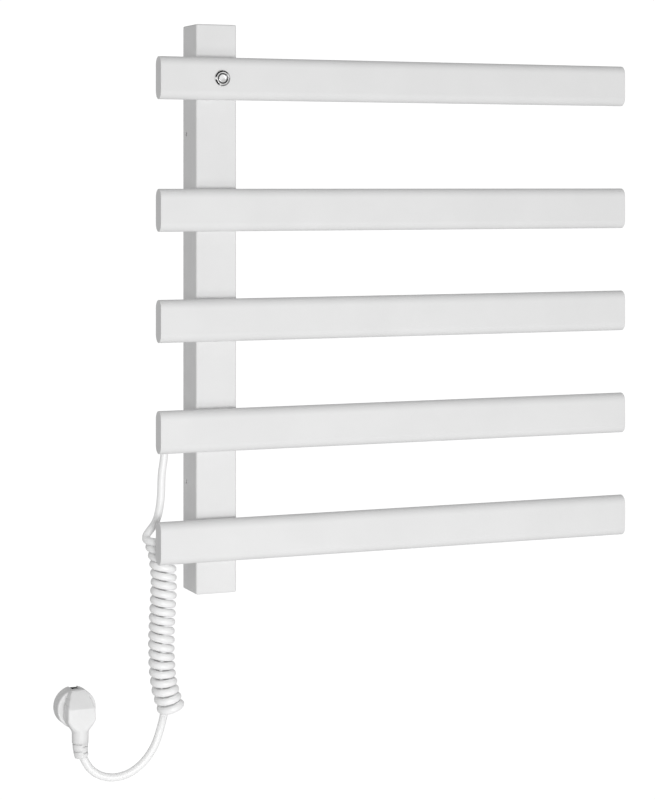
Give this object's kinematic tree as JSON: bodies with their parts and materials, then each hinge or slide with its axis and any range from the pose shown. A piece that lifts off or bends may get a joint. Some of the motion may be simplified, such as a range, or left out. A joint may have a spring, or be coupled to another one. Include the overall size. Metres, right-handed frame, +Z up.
{
  "type": "electric towel warmer rack",
  "caption": "Wall-hung electric towel rail: flat-oval rails fixed across a square column near one end, a push button on the top rail, and a curly mains cord with an angled plug.",
  "frame": {"origin": "on the wall plane, half way between the two wall screw holes, on the column's centre line", "axes": "+X along the rails towards their long end, +Y into the wall, +Z up"},
  "size_m": [0.571, 0.1, 0.7091],
  "materials": {
    "white_enamel": "white powder coat, satin, very fine orange peel",
    "white_cap": "white powder coat, satin",
    "zinc_steel": "zinc-plated steel, dull",
    "grub_steel": "blackened steel, dull",
    "chrome": "polished chrome",
    "light_ring": "dark translucent plastic, glossy",
    "spring_steel": "bright spring wire",
    "black_rubber": "black rubber, matt",
    "switch_plastic": "black moulded plastic",
    "heater_silicone": "red-brown silicone rubber, satin",
    "wire_insulation": "pale cable insulation",
    "board_green": "green solder resist",
    "carrier_plastic": "pale moulded plastic",
    "tinned_copper": "tinned copper, satin",
    "white_plastic": "white moulded plastic, satin",
    "cord_pvc": "white flexible PVC, soft sheen",
    "plug_pvc": "white moulded PVC, satin",
    "nickel_brass": "nickel-plated brass, polished"
  },
  "bodies": {
    "rack": {"board_carrier": "carrier_plastic", "board_screws": "zinc_steel", "button_housing": "chrome", "button_leads": "wire_insulation", "button_light_ring": "light_ring", "button_nut": "zinc_steel", "button_seal": "black_rubber", "button_spring": "spring_steel", "button_switch": "switch_plastic", "button_trim_ring": "chrome", "cable_gland": "white_plastic", "column": "white_enamel", "column_cap_bottom": "white_cap", "column_cap_top": "white_cap", "control_board": "board_green", "cord_coil": "cord_pvc", "cord_lower": "cord_pvc", "cord_strain_relief": "white_plastic", "cord_upper": "cord_pvc", "earth_lug": "tinned_copper", "earth_nut": "zinc_steel", "earth_stud": "zinc_steel", "gland_nut": "white_plastic", "grub_screws": "grub_steel", "heating_cable_1": "heater_silicone", "heating_cable_2": "heater_silicone", "heating_cable_3": "heater_silicone", "heating_cable_4": "heater_silicone", "heating_cable_5": "heater_silicone", "plug_cover": "plug_pvc", "plug_earth_clips": "nickel_brass", "plug_insert": "plug_pvc", "plug_pins": "nickel_brass", "plug_strain_relief": "plug_pvc", "rail_1": "white_enamel", "rail_2": "white_enamel", "rail_3": "white_enamel", "rail_4": "white_enamel", "rail_5": "white_enamel", "rail_cap_left_1": "white_cap", "rail_cap_left_2": "white_cap", "rail_cap_left_3": "white_cap", "rail_cap_left_4": "white_cap", "rail_cap_left_5": "white_cap", "rail_cap_right_1": "white_cap", "rail_cap_right_2": "white_cap", "rail_cap_right_3": "white_cap", "rail_cap_right_4": "white_cap", "rail_cap_right_5": "white_cap", "relay": "carrier_plastic", "supply_leads": "wire_insulation", "supply_module": "carrier_plastic", "terminal_block": "carrier_plastic", "thermal_cutout": "switch_plastic", "wall_bracket_lower": "zinc_steel", "wall_bracket_upper": "zinc_steel", "weld_nuts": "zinc_steel", "wire_grommets": "black_rubber", "wiring_loom": "wire_insulation"},
    "button": {"button_cap": "chrome"}
  },
  "joints": [
    {"name": "button_press", "type": "slide", "parent": "rack", "child": "button", "axis": [0, 1, 0], "range_m": [0, 0.0012], "stiffness_N_per_m": 1200, "springref_m": -0.001, "deforming": ["button_spring"]}
  ]
}
